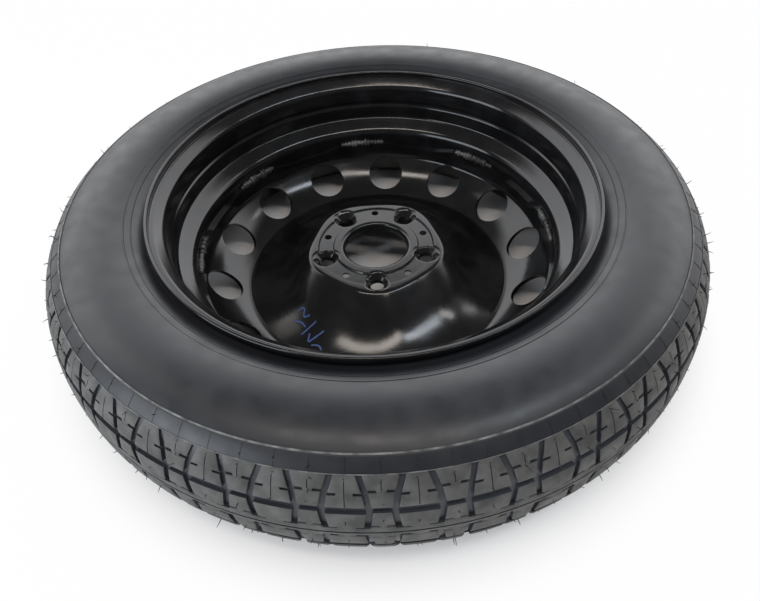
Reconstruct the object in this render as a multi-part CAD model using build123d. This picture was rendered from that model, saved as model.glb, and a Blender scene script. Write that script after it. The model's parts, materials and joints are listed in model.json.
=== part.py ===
from build123d import *
import math
import os

# Temporary-use spare wheel: narrow tyre on a welded steel wheel, lying flat with its hub side up.
# Millimetres; the wheel axis is Z, the hub face is at z = 0, and up is towards the car.

# Driving dimensions of the rim
lip_r = 217.0
bead_seat_r = 202.8
well_r = 181.0
rim_width = 114.3
rim_centre_z = 9.5
rim_sheet = 2.6
flange_depth = 12.35
flange_curl = 4.5
seat_taper = 5.0
inboard_ledge = 38.5
outboard_ledge = 24.0
inboard_slope = 12.6
outboard_slope = 10.6

# Driving dimensions of the tyre
tyre_r = 320.0
crown_drop = 1.0
shoulder_r = 304.0
shoulder_half = 54.5
upper_wall_r = 284.0
section_half = 71.0
widest_r = 258.0
lower_wall_r = 236.0
wall_drop = 4.5
flange_cover = 2.0
tread_wall = 12.0
side_wall = 7.5
bead_clearance = 0.1
bead_toe = 17.0
toe_thickness = 6.0

# Driving dimensions of the tread
pitch_count = 38
ring_groove_half = 25.5
ring_groove_width = 5.0
groove_depth = 3.6
groove_width = 4.6
groove_step = 0.6
groove_end_gap = 1.5
groove_slant = 15.0
pair_angle = 6.3
tread_phase = -98.9

# Driving dimensions of the disc
disc_sheet = 3.6
bore_r = 32.55
bore_collar = 9.0
pad_r = 68.0
recess_in_r = 44.0
recess_out_r = 59.5
recess_depth = 1.2
crease_r = 137.0
crease_z = -41.5
band_inset = 18.35
band_z = -34.0
bend_inset = 1.75
bend_z = -15.5
flange_bend = 4.0
flange_edge_z = 5.0
disc_fit = 0.05

# Driving dimensions of the holes in the disc
vent_count = 14
vent_hole_r = 20.0
vent_inset = 13.35
vent_z = -29.6
vent_lean = 45.0
vent_phase = 84.0
lug_count = 5
lug_circle_r = 54.0
lug_hole_r = 7.1
lug_seat_r = 13.0
lug_seat_depth = 5.0
lug_boss_depth = 9.0
lug_boss_wall = 2.4
lug_phase = -91.0
small_hole_r = 3.75
small_circle_r = 52.9

# Driving dimensions of the welds and of the flange edge between them
weld_count = 8
weld_angle = 16.5
weld_leg = 4.5
weld_phase = 3.0
edge_dip = 5.0

# Driving dimensions of the snap-in valve, measured along its own axis from the rim
valve_angle = -90.0
valve_hole_r = 5.75
valve_fit = 0.03
valve_seat_gap = 0.2
body_head_r = 9.4
body_head = 6.5
body_collar_r = 7.6
body_collar = 6.0
body_sleeve_r = 5.2
body_length = 21.0
stem_r = 3.4
stem_thread_r = 3.85
stem_length = 31.5
stem_bore_r = 1.9
core_bore_r = 2.65
core_depth = 8.5
core_sunk = 0.6
plug_length = 4.0
barrel_r = 1.7
barrel_bore_r = 1.25
barrel_length = 9.0
barrel_floor = 1.2
pin_r = 0.5
pin_collar_r = 0.95
pin_collar = 0.7
pin_collar_drop = 1.0
pin_sunk = 0.3
slide_clearance = 0.3
contact_gap = 0.05
spring_wire = 0.36
spring_turns = 3
cup_r = 1.45
cup_wall = 0.2
cup_floor = 0.9
gasket_height = 1.3
cap_wall = 0.9
cap_top = 1.2
cap_gap = 0.5
seal_height = 0.8


def ring(outline):
    """Turns a closed outline of radius and height pairs about the wheel axis."""
    return revolve(Plane.XZ * make_face(Polyline(*outline, close=True)), Axis.Z)


def parallel(line, distance):
    """The mitred parallel of an open line of points, on the right-hand side of its run."""
    steps = [(b[0] - a[0], b[1] - a[1]) for a, b in zip(line, line[1:])]
    normals = [(dy / math.hypot(dx, dy), -dx / math.hypot(dx, dy)) for dx, dy in steps]
    moved = []
    for point, before, after in zip(line, normals[:1] + normals, normals + normals[-1:]):
        scale = distance / (1.0 + before[0] * after[0] + before[1] * after[1])
        moved.append((point[0] + scale * (before[0] + after[0]), point[1] + scale * (before[1] + after[1])))
    return moved


def around(shape, count, phase):
    """Copies a shape evenly about the wheel axis, the first copy at the phase angle."""
    return [Rot(0, 0, phase + 360.0 * k / count) * shape for k in range(count)]


def pillar(radius, low, high, place_r=0.0):
    """A round bar along Z between two heights, at a distance from the axis."""
    return Pos(place_r, 0, (low + high) / 2) * Cylinder(radius, high - low)


# The rim's tyre-side line, one side at a time, from the lip's end down to the drop well
rim_half = rim_width / 2
well_outer_r = well_r + rim_sheet
taper = math.tan(math.radians(seat_taper))


def seat_r(half):
    """Radius of the tapered bead seat at a distance from the rim's middle."""
    return bead_seat_r - taper * (rim_half - half)


def rim_side(ledge, slope):
    """Radius and distance from the rim's middle of one side of the rim."""
    ledge_end = rim_half - ledge
    return [
        (lip_r, rim_half + flange_depth),
        (lip_r, rim_half + flange_curl),
        (lip_r - flange_curl, rim_half),
        (bead_seat_r, rim_half),
        (seat_r(ledge_end), ledge_end),
        (well_outer_r, ledge_end - slope),
    ]


inboard_side = rim_side(inboard_ledge, inboard_slope)
outboard_side = [(r, -h) for r, h in reversed(rim_side(outboard_ledge, outboard_slope))]
rim_line = [(r, rim_centre_z + h) for r, h in inboard_side + outboard_side]
wheel_rim = ring(rim_line + parallel(rim_line, rim_sheet)[::-1])

# The tyre's casing: one moulded shell with two ring grooves, alike above and below its middle
block_r = tyre_r - crown_drop
ring_floor = block_r - groove_depth
ring_inner = ring_groove_half - ring_groove_width / 2
ring_outer = ring_groove_half + ring_groove_width / 2
outer_half = [
    (tyre_r, ring_inner),
    (ring_floor, ring_inner),
    (ring_floor, ring_outer),
    (block_r, ring_outer),
    (shoulder_r, shoulder_half),
    (upper_wall_r, section_half - wall_drop),
    (widest_r, section_half),
    (lower_wall_r, section_half - wall_drop),
    (lip_r + flange_cover, rim_half + flange_cover),
    (lip_r - flange_curl, rim_half - bead_clearance),
    (bead_seat_r + bead_clearance, rim_half - bead_clearance),
    (seat_r(rim_half - bead_toe) + bead_clearance, rim_half - bead_toe),
]
inner_half = [
    (bead_seat_r + toe_thickness, rim_half - bead_toe),
    (widest_r, section_half - side_wall),
    (tyre_r - tread_wall, ring_outer),
]
half_section = outer_half + inner_half
mirrored = [(r, -h) for r, h in reversed(half_section)]
casing = ring([(r, rim_centre_z + h) for r, h in half_section + mirrored])

# Tread: leaning grooves in pairs run from each ring groove to the shoulder
tread_top = tyre_r + groove_depth
groove_start = ring_groove_half + ring_groove_width / 4
groove_end = shoulder_half - groove_end_gap
groove_outline = [
    (ring_floor + groove_step, groove_start),
    (shoulder_r - groove_depth / 2, groove_end),
    (tread_top, groove_end),
    (tread_top, groove_start),
]
groove_cut = extrude(Plane.XZ * make_face(Polyline(*groove_outline, close=True)), groove_width / 2, both=True)
junction = Axis((0, 0, ring_groove_half), (1, 0, 0))
tread_cuts = []
for slant, turn in ((-groove_slant, 0.0), (groove_slant, pair_angle)):
    leaning = groove_cut.rotate(junction, slant)
    for side in (leaning, mirror(leaning, Plane.XY)):
        tread_cuts += around(Pos(0, 0, rim_centre_z) * side, pitch_count, tread_phase + turn)
tyre = casing - tread_cuts

# The disc: one pressing from the bore's collar over the hub pad and hat to the outer flange
flange_in_r = well_r - disc_fit - disc_sheet
band_r = flange_in_r - band_inset
bend_r = flange_in_r - bend_inset
vent_r = flange_in_r - vent_inset
disc_line = [
    (bore_r, -bore_collar),
    (bore_r, 0.0),
    (pad_r, 0.0),
    (crease_r, crease_z),
    (band_r, band_z),
    (bend_r, bend_z),
    (flange_in_r, bend_z + flange_bend),
    (flange_in_r, flange_edge_z),
]
pressing = ring(disc_line + parallel(disc_line, disc_sheet)[::-1])

# Lug seats: a cone pressed through the pad, with its wall standing out on the far side
boss_top_r = lug_seat_r + lug_boss_wall
boss_low_r = lug_hole_r + lug_boss_wall
boss = Pos(lug_circle_r, 0, -lug_boss_depth / 2) * Cone(boss_low_r, boss_top_r, lug_boss_depth)
seat = Pos(lug_circle_r, 0, -lug_seat_depth / 2) * Cone(lug_hole_r, lug_seat_r, lug_seat_depth)
lug_hole = pillar(lug_hole_r, -lug_boss_depth, -lug_seat_depth, lug_circle_r)

# Coined ring in the pad, small holes half-way between the lugs, vents punched square to the band
coined = pillar(recess_out_r, -recess_depth, 0.0) - pillar(recess_in_r, -recess_depth, 0.0)
small_hole = pillar(small_hole_r, -disc_sheet, 0.0, small_circle_r)
vent = Pos(vent_r, 0, vent_z) * Rot(0, -vent_lean, 0) * Cylinder(vent_hole_r, 8 * disc_sheet)

# The flange's edge dips between the welds: a wide round cutter lies over each gap
weld_pitch = 360.0 / weld_count
gap_half = math.radians(weld_pitch - weld_angle) / 2 * well_r
dip_r = (gap_half**2 + edge_dip**2) / (2 * edge_dip)
dip_reach = 4 * disc_sheet
dip = Pos(flange_in_r, 0, flange_edge_z + dip_r - edge_dip) * Rot(0, 90, 0) * Cylinder(dip_r, dip_reach)

bosses = around(boss, lug_count, lug_phase)
seats = around(seat + lug_hole, lug_count, lug_phase)
small_holes = around(small_hole, lug_count, lug_phase + 180.0 / lug_count)
vents = around(vent, vent_count, vent_phase)
dips = around(dip, weld_count, weld_phase + weld_pitch / 2)
wheel_disc = pressing - coined + bosses - seats - small_holes - vents - dips

# Welds: fillets that stand on the flange's edge against the drop well
weld_face_r = well_r - disc_fit
weld_section = [
    (weld_face_r, flange_edge_z),
    (weld_face_r, flange_edge_z + weld_leg),
    (flange_in_r, flange_edge_z),
]
weld_face = Plane.XZ * make_face(Polyline(*weld_section, close=True))
weld = Rot(0, 0, -weld_angle / 2) * revolve(weld_face, Axis.Z, weld_angle)
weld_beads = Compound(around(weld, weld_count, weld_phase))

# The valve stands square on the middle of the rim's outboard slope
slope_foot, slope_top = rim_line[6], rim_line[7]
slope_run = (slope_top[0] - slope_foot[0], slope_top[1] - slope_foot[1])
slope_length = math.hypot(*slope_run)
lean_r, lean_z = slope_run[1] / slope_length, -slope_run[0] / slope_length
seat_place_r = (slope_foot[0] + slope_top[0]) / 2 + rim_sheet * lean_r
seat_place_z = (slope_foot[1] + slope_top[1]) / 2 + rim_sheet * lean_z
turn_x, turn_y = math.cos(math.radians(valve_angle)), math.sin(math.radians(valve_angle))
valve_plane = Plane(
    origin=(seat_place_r * turn_x, seat_place_r * turn_y, seat_place_z),
    x_dir=(-turn_y, turn_x, 0),
    z_dir=(lean_r * turn_x, lean_r * turn_y, lean_z),
)
wheel_rim -= valve_plane * pillar(valve_hole_r, -2 * rim_sheet, rim_sheet)

# Valve body of rubber, and the brass stem bonded in it
head_low = -rim_sheet - body_head
valve_body = ring(
    [
        (stem_r + valve_fit, head_low),
        (body_head_r, head_low),
        (body_head_r, -rim_sheet - valve_seat_gap),
        (valve_hole_r - valve_fit, -rim_sheet - valve_seat_gap),
        (valve_hole_r - valve_fit, valve_seat_gap),
        (body_collar_r, valve_seat_gap),
        (body_collar_r, body_collar),
        (body_sleeve_r, body_collar),
        (body_sleeve_r, body_length),
        (stem_r + valve_fit, body_length),
    ]
)
core_seat = stem_length - core_depth
valve_stem = ring(
    [
        (stem_bore_r, head_low),
        (stem_r, head_low),
        (stem_r, body_length),
        (stem_thread_r, body_length),
        (stem_thread_r, stem_length),
        (core_bore_r, stem_length),
        (core_bore_r, core_seat),
        (stem_bore_r, core_seat),
    ]
)

# Valve core: screwed plug, barrel with its ring seal, and the sprung pin with its cup and seal
plug_top = stem_length - core_sunk
plug_low = plug_top - plug_length
barrel_low = plug_low - barrel_length
pin_hole_r = pin_r + slide_clearance
core_plug = pillar(core_bore_r - valve_fit, plug_low, plug_top) - pillar(pin_hole_r, plug_low, plug_top)
barrel_hollow = pillar(barrel_bore_r, barrel_low + barrel_floor, plug_low)
core_barrel = pillar(barrel_r, barrel_low, plug_low) - barrel_hollow - pillar(pin_hole_r, barrel_low, plug_low)
gasket_top = core_seat + gasket_height
barrel_gasket = pillar(core_bore_r - valve_fit, core_seat, gasket_top) - pillar(barrel_r, core_seat, gasket_top)

collar_top = plug_low - pin_collar_drop
collar_low = collar_top - pin_collar
seal_top = barrel_low - contact_gap
seal_low = seal_top - gasket_height
cup_low = seal_low - cup_floor
core_pin = pillar(pin_r, seal_low, stem_length - pin_sunk) + pillar(pin_collar_r, collar_low, collar_top)
pin_cup = pillar(cup_r, cup_low, seal_top - cup_floor / 2) - pillar(cup_r - cup_wall, seal_low, seal_top)
cup_gasket = pillar(cup_r - cup_wall, seal_low, seal_top) - pillar(pin_r, seal_low, seal_top)

# The spring stands on the barrel's floor and holds the pin's collar up
spring_mean_r = (barrel_bore_r + pin_r) / 2
spring_low = barrel_low + barrel_floor + spring_wire / 2 + contact_gap
spring_high = collar_low - spring_wire / 2 - contact_gap
spring_path = Pos(0, 0, spring_low) * Helix(
    pitch=(spring_high - spring_low) / spring_turns,
    height=spring_high - spring_low,
    radius=spring_mean_r,
)
wire_plane = Plane(origin=spring_path @ 0, z_dir=spring_path % 0)
core_spring = sweep(wire_plane * Rectangle(spring_wire, spring_wire), path=spring_path, is_frenet=True)

# The dust cap, with a seal in its end that lies on the stem's tip
cap_bore_r = stem_thread_r + slide_clearance
cap_low = body_length + cap_gap
cap_seal_low = stem_length + contact_gap
cap_seal_top = cap_seal_low + seal_height
cap_inner = cap_seal_top + contact_gap
valve_cap = pillar(cap_bore_r + cap_wall, cap_low, cap_inner + cap_top) - pillar(cap_bore_r, cap_low, cap_inner)
cap_seal = pillar(stem_thread_r, cap_seal_low, cap_seal_top)

valve_pieces = {
    "valve_body": valve_body,
    "valve_stem": valve_stem,
    "core_plug": core_plug,
    "core_barrel": core_barrel,
    "barrel_gasket": barrel_gasket,
    "core_pin": core_pin,
    "pin_cup": pin_cup,
    "cup_gasket": cup_gasket,
    "core_spring": core_spring,
    "valve_cap": valve_cap,
    "cap_seal": cap_seal,
}
pieces = {"tyre": tyre, "wheel_rim": wheel_rim, "wheel_disc": wheel_disc, "weld_beads": weld_beads}
for name, piece in valve_pieces.items():
    pieces[name] = valve_plane * piece

os.makedirs("parts", exist_ok=True)
for name, piece in pieces.items():
    export_step(piece, "parts/" + name + ".step")
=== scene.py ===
import bpy
import bmesh
import json
import math
from mathutils import Matrix, Quaternion, Vector, noise


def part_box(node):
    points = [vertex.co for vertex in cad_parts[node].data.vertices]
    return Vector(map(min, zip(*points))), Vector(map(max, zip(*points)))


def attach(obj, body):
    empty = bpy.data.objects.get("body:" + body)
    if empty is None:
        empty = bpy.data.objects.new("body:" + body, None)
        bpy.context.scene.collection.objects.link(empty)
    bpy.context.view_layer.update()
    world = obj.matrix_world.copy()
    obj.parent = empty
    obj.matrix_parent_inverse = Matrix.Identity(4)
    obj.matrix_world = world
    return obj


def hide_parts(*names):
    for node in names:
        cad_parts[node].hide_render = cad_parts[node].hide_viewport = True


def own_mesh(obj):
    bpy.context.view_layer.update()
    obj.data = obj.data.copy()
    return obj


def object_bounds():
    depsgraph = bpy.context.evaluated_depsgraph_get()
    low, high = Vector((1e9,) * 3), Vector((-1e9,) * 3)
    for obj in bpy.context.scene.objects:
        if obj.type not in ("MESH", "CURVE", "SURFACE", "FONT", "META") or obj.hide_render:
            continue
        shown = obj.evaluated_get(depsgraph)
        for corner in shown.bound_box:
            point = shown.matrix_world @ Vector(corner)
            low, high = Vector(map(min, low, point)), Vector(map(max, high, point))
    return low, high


# Looks of the spare wheel: lengths are millimetres, but metres for materials and stage; angles are degrees
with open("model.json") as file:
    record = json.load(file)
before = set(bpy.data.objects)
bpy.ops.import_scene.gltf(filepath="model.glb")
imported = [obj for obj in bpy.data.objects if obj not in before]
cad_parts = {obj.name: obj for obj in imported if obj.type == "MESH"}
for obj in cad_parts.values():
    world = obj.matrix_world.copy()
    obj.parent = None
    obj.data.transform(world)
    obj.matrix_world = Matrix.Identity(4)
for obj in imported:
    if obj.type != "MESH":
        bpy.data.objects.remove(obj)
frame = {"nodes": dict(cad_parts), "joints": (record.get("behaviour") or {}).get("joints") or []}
cad_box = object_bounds()

MM = 0.001
joints = {joint["name"]: joint for joint in frame["joints"]}
valve_seat = Vector(joints["cap_turn"]["pos_m"]) / MM
valve_axis = Vector(joints["cap_turn"]["axis"])
mid_z = (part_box("tyre")[0].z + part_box("tyre")[1].z) / 2 / MM
lip_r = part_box("wheel_rim")[1].x / MM
tyre_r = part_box("tyre")[1].x / MM
floor_z = cad_box[0].z / MM

# Camera, as fitted to the photograph
IMAGE_WIDTH = 760
FOCAL_PIXELS = 696.47
SENSOR_WIDTH = 36.0
VIEW_DISTANCE = 678.3
VIEW_ELEVATION = 36.66
VIEW_PAN = 0.08
VIEW_TILT = -9.628
VIEW_ROLL = -3.227
LIP_TOP_Z = 79.0


# Mesh helpers
LEAST_TURN = 0.01


def rounded(corners, arc_step=12.0, longest=math.inf):
    """An open line through corners of x, y and bend radius, each bend drawn as an arc."""
    line = [Vector(corners[0][:2])]
    for before, corner, after in zip(corners, corners[1:], corners[2:]):
        place = Vector(corner[:2])
        back = (Vector(before[:2]) - place).normalized()
        ahead = (Vector(after[:2]) - place).normalized()
        turn = math.pi - back.angle(ahead)
        radius = corner[2] if len(corner) > 2 else 0.0
        if radius == 0.0 or turn < LEAST_TURN:
            line.append(place)
            continue
        tangent = radius * math.tan(turn / 2)
        centre = place + (back + ahead).normalized() * radius / math.cos(turn / 2)
        start = place + back * tangent - centre
        side = math.copysign(1.0, back.x * ahead.y - back.y * ahead.x)
        steps = max(2, math.ceil(math.degrees(turn) / arc_step), math.ceil(radius * turn / longest))
        for k in range(steps + 1):
            line.append(centre + Matrix.Rotation(-side * turn * k / steps, 2) @ start)
    line.append(Vector(corners[-1][:2]))
    return [tuple(point) for point in line]


def parallel(line, distance):
    """The mitred parallel of an open line, on the right-hand side of its run."""
    steps = [Vector(b) - Vector(a) for a, b in zip(line, line[1:])]
    normals = [Vector((step.y, -step.x)).normalized() for step in steps]
    moved = []
    for point, before, after in zip(line, normals[:1] + normals, normals + normals[-1:]):
        moved.append(tuple(Vector(point) + (before + after) * distance / (1.0 + before.dot(after))))
    return moved


def divided(line, longest, fine_to=math.inf, coarse=1.0):
    """The same line with its long runs split, more coarsely past a radius."""
    points = [line[0]]
    for a, b in zip(line, line[1:]):
        parts = max(1, math.ceil(math.dist(a, b) / (longest if b[0] <= fine_to else coarse)))
        points += [tuple(Vector(a).lerp(Vector(b), k / parts)) for k in range(1, parts + 1)]
    return points


def between(table, place):
    """Straight interpolation in a short table of pairs."""
    for (a, low), (b, high) in zip(table, table[1:]):
        if place <= b:
            return low + (high - low) * (place - a) / (b - a)
    return table[-1][1]


def lathe(section, segments, shape=None):
    """A closed outline of radius and height turned about Z; shape may move each point."""
    verts = []
    for k in range(segments):
        turn = 2 * math.pi * k / segments
        for index, (r, z) in enumerate(section):
            if shape:
                r, z = shape(index, r, z, turn)
            verts.append((r * math.cos(turn), r * math.sin(turn), z))
    count = len(section)
    faces = []
    for k in range(segments):
        a, b = k * count, (k + 1) % segments * count
        faces += [(a + i, b + i, b + (i + 1) % count, a + (i + 1) % count) for i in range(count)]
    return verts, faces


def tube_faces(start, rings, sides):
    """Faces of a closed tube whose rings of points follow each other from a start number."""
    faces = []
    for ring in range(rings - 1):
        a, b = start + ring * sides, start + (ring + 1) * sides
        faces += [(a + k, a + (k + 1) % sides, b + (k + 1) % sides, b + k) for k in range(sides)]
    last = start + (rings - 1) * sides
    return faces + [tuple(range(start, start + sides)), tuple(range(last, last + sides))]


def piece(name, verts, faces, materials, body, nodes=(), sharp=35.0, place=None, face_slots=None):
    """Makes a shown piece from millimetre points, smooth but for edges over the sharp angle."""
    mesh = bpy.data.meshes.new(name)
    mesh.from_pydata([tuple(c * MM for c in v) for v in verts], [], faces)
    for material in materials:
        mesh.materials.append(material)
    if face_slots:
        mesh.polygons.foreach_set("material_index", face_slots)
    if place:
        mesh.transform(place)
    work = bmesh.new()
    work.from_mesh(mesh)
    bmesh.ops.recalc_face_normals(work, faces=work.faces)
    work.to_mesh(mesh)
    work.free()
    mesh.shade_smooth()
    mesh.set_sharp_from_angle(angle=math.radians(sharp))
    made = bpy.data.objects.new(name, mesh)
    bpy.context.scene.collection.objects.link(made)
    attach(made, body)
    if nodes:
        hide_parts(*nodes)
    return made


# Shader nodes
def map_range(tree, source, low, high, to_low, to_high, kind="LINEAR"):
    """A node that maps one range of a source onto another."""
    made = tree.nodes.new("ShaderNodeMapRange")
    made.interpolation_type = kind
    for name, value in zip(("From Min", "From Max", "To Min", "To Max"), (low, high, to_low, to_high)):
        made.inputs[name].default_value = value
    tree.links.new(source, made.inputs["Value"])
    return made.outputs["Result"]


def combine(tree, operation, first, second):
    """A node that works out one number from two."""
    made = tree.nodes.new("ShaderNodeMath")
    made.operation = operation
    tree.links.new(first, made.inputs[0])
    tree.links.new(second, made.inputs[1])
    return made.outputs[0]


class Shader:
    """A small helper that lays out one procedural material."""

    def __init__(self, name):
        self.material = bpy.data.materials.new(name)
        self.material.use_nodes = True
        self.nodes = self.material.node_tree.nodes
        self.links = self.material.node_tree.links
        self.bsdf = self.nodes["Principled BSDF"]
        self.coords = self.nodes.new("ShaderNodeTexCoord").outputs["Object"]
        self.height = None

    def noise(self, scale, detail=4.0):
        made = self.nodes.new("ShaderNodeTexNoise")
        made.inputs["Scale"].default_value = scale
        made.inputs["Detail"].default_value = detail
        self.links.new(self.coords, made.inputs["Vector"])
        return made.outputs["Fac"]

    def ramp(self, source, low, high, dark, light):
        made = self.nodes.new("ShaderNodeValToRGB")
        ends = made.color_ramp.elements
        ends[0].position, ends[1].position = low, high
        ends[0].color, ends[1].color = (*dark, 1.0), (*light, 1.0)
        self.links.new(source, made.inputs["Fac"])
        return made.outputs["Color"]

    def spread(self, source, low, high, to_low, to_high):
        return map_range(self.material.node_tree, source, low, high, to_low, to_high)

    def colour(self, source):
        self.links.new(source, self.bsdf.inputs["Base Color"])

    def rough(self, source):
        self.links.new(source, self.bsdf.inputs["Roughness"])

    def bump(self, source, distance, strength=1.0):
        made = self.nodes.new("ShaderNodeBump")
        made.inputs["Distance"].default_value = distance
        made.inputs["Strength"].default_value = strength
        self.links.new(source, made.inputs["Height"])
        if self.height:
            self.links.new(self.height, made.inputs["Normal"])
        self.height = made.outputs["Normal"]
        self.links.new(self.height, self.bsdf.inputs["Normal"])


# Materials: noise scales are cells to the metre, bands are the part of a noise that a ramp spans
CLOUD_BAND = (0.32, 0.68)
SCUFF_BAND = (0.3, 0.7)
DUST_AND_GLINT_BAND = (0.45, 0.8)
SMEAR_BAND = (0.3, 0.75)
MOTTLE_SCALE = 9.0
TREAD_MOTTLE = 70.0
RIDGE_HIGHLIGHT_MOTTLE = 110.0
SCUFF_SCALE = 60.0
GRAIN_SCALE = 900.0
SWELL_SCALE = 45.0
DUST_AND_GLINT_SCALE = 38.0
SMEAR_SCALE = 24.0
PEEL_SCALE = 150.0
FINE_PEEL_SCALE = 700.0
STAIN_SCALE = 120.0
LATHE_SCALE = 800.0
TOOL_SCALE = 2500.0
TOOL_MARK = 0.00001
SMOOTH_GRAIN = 0.00001
FINE_GRAIN = 0.00002
FLASH_GRAIN = 0.00003
TREAD_GRAIN = 0.00007
PAINT_PEEL = 0.00004
WELD_PEEL = 0.00014


def rubber(name, dark, light, rough_low, rough_high, grain, mottle=MOTTLE_SCALE):
    """Vulcanised rubber: mottled colour, scuffs and a fine moulded grain."""
    made = Shader(name)
    made.colour(made.ramp(made.noise(mottle, 6.0), *CLOUD_BAND, dark, light))
    made.rough(made.spread(made.noise(SCUFF_SCALE, 6.0), *SCUFF_BAND, rough_low, rough_high))
    made.bump(made.noise(GRAIN_SCALE, 3.0), grain)
    made.bump(made.noise(SWELL_SCALE, 3.0), grain * 2.0, 0.5)
    return made.material


def gloss_paint(name, base, dust_and_glint_gain, rough_low, rough_high, peel):
    """Thick black stoving paint: a faint orange peel and light specks, a thin dusting at a low gain, and
    spatter with painted glints at a high gain.
    """
    made = Shader(name)
    made.bsdf.inputs["Specular IOR Level"].default_value = 0.5
    dust_and_glint_colour = tuple(dust_and_glint_gain * c for c in base)
    made.colour(made.ramp(made.noise(DUST_AND_GLINT_SCALE, 8.0), *DUST_AND_GLINT_BAND, base, dust_and_glint_colour))
    made.rough(made.spread(made.noise(SMEAR_SCALE, 7.0), *SMEAR_BAND, rough_low, rough_high))
    made.bump(made.noise(PEEL_SCALE, 2.0), peel)
    made.bump(made.noise(FINE_PEEL_SCALE, 3.0), peel * 0.25)
    return made.material


def metal(name, dark, light, rough_low, rough_high):
    """Turned bare metal with fine tool marks."""
    made = Shader(name)
    made.bsdf.inputs["Metallic"].default_value = 1.0
    made.colour(made.ramp(made.noise(STAIN_SCALE, 4.0), *SCUFF_BAND, dark, light))
    made.rough(made.spread(made.noise(LATHE_SCALE, 3.0), *SCUFF_BAND, rough_low, rough_high))
    made.bump(made.noise(TOOL_SCALE, 2.0), TOOL_MARK)
    return made.material


sidewall_rubber = rubber(
    "sidewall_rubber", (0.017, 0.018, 0.0215), (0.024, 0.025, 0.0295), 0.31, 0.45, FINE_GRAIN
)
tread_rubber = rubber(
    "tread_rubber", (0.058, 0.058, 0.056), (0.125, 0.123, 0.118), 0.5, 0.75, TREAD_GRAIN, TREAD_MOTTLE
)
# Groove faces: moulded rubber tinted bluish and lighter than the sidewall, a painted sheen.
groove_rubber_and_sheen = rubber(
    "groove_rubber_and_sheen", (0.030, 0.034, 0.042), (0.048, 0.053, 0.064), 0.36, 0.48, SMOOTH_GRAIN
)
hair_rubber = rubber("hair_rubber", (0.010, 0.010, 0.011), (0.02, 0.02, 0.021), 0.4, 0.55, SMOOTH_GRAIN)
# Light rubber for the mould ridge at the tread's edge and the sidewall's ring line: a painted highlight
# along these ridges.
ridge_highlight_rubber = rubber(
    "ridge_highlight_rubber", (0.05, 0.05, 0.05), (0.24, 0.24, 0.235), 0.5, 0.7, FLASH_GRAIN, RIDGE_HIGHLIGHT_MOTTLE
)
wheel_paint = gloss_paint("wheel_paint", (0.0065, 0.0065, 0.007), 2.6, 0.1, 0.18, PAINT_PEEL)
# Weld paint: its bright specks are partly spatter and partly painted glints on the bead's ripples.
weld_paint = gloss_paint("weld_paint", (0.04, 0.04, 0.039), 6.0, 0.14, 0.3, WELD_PEEL)
marker_ink = rubber("marker_ink", (0.035, 0.075, 0.24), (0.06, 0.12, 0.34), 0.35, 0.5, SMOOTH_GRAIN)
valve_rubber = rubber("valve_rubber", (0.018, 0.018, 0.018), (0.03, 0.03, 0.03), 0.5, 0.65, FINE_GRAIN)
seal_rubber = rubber("seal_rubber", (0.04, 0.022, 0.020), (0.06, 0.034, 0.03), 0.55, 0.7, SMOOTH_GRAIN)
cap_plastic = rubber("cap_plastic", (0.012, 0.012, 0.012), (0.02, 0.02, 0.02), 0.35, 0.5, SMOOTH_GRAIN)
valve_brass = metal("valve_brass", (0.52, 0.40, 0.18), (0.66, 0.53, 0.28), 0.25, 0.4)
spring_steel = metal("spring_steel", (0.45, 0.45, 0.46), (0.6, 0.6, 0.61), 0.22, 0.36)

# Rim: the rolled section with its bends, humps and rounded lip edges
RIM_SEGMENTS = 320
RIM_HALF = 57.15
RIM_SHEET = 2.6
LIP_HALF = 69.5
LIP_FOOT = (-0.6, -4.0)
SHELF_OUT = (216.2, 62.2, 2.8)
SHELF_IN = (210.5, 62.2, 0.9)
FLANGE_FOOT = 55.6
SEAT_R = 202.8
WELL_R = 183.6
SEAT_TAPER = math.tan(math.radians(5.0))
HUMP_RISE = 1.4
FLANGE_BEND = 5.4
HUMP_BEND = 1.6
LEDGE_BEND = 6.0
WELL_BEND = 8.0
RIM_ARC_STEP = 8.0
RIM_RUN = 9.0
RIM_SHARP = 50.0
# Width of the bead ledge and fall into the drop well, on the upper and the lower half
UPPER_LEDGE = (38.5, 10.8)
LOWER_LEDGE = (24.0, 10.6)
hump_line = [(41.0, 0.0), (38.8, HUMP_RISE), (35.0, HUMP_RISE), (32.8, 0.0)]
curl_line = [
    (-0.45, -3.2), (-0.1, -2.5), (0.0, -1.8), (-0.15, -1.1), (-0.6, -0.45), (-1.2, -0.1), (-1.9, 0.0),
    (-2.6, -0.15), (-3.2, -0.6), (-3.5, -1.3), (-3.5, -2.2),
]


def seat_r(half):
    """Radius of the tapered bead seat at a distance from the rim's middle."""
    return SEAT_R - SEAT_TAPER * (RIM_HALF - half)


def rim_side(ledge, slope):
    """Tyre-side corners of one half of the rim, from the lip to the drop well."""
    ledge_end = RIM_HALF - ledge
    humps = hump_line if ledge_end < hump_line[-1][0] else []
    corners = [(lip_r + LIP_FOOT[0], LIP_HALF + LIP_FOOT[1]), SHELF_OUT, SHELF_IN]
    corners.append((seat_r(FLANGE_FOOT), FLANGE_FOOT, FLANGE_BEND))
    corners += [(seat_r(half) + rise, half, HUMP_BEND) for half, rise in humps]
    return corners + [(seat_r(ledge_end), ledge_end, LEDGE_BEND), (WELL_R, ledge_end - slope, WELL_BEND)]


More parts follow.
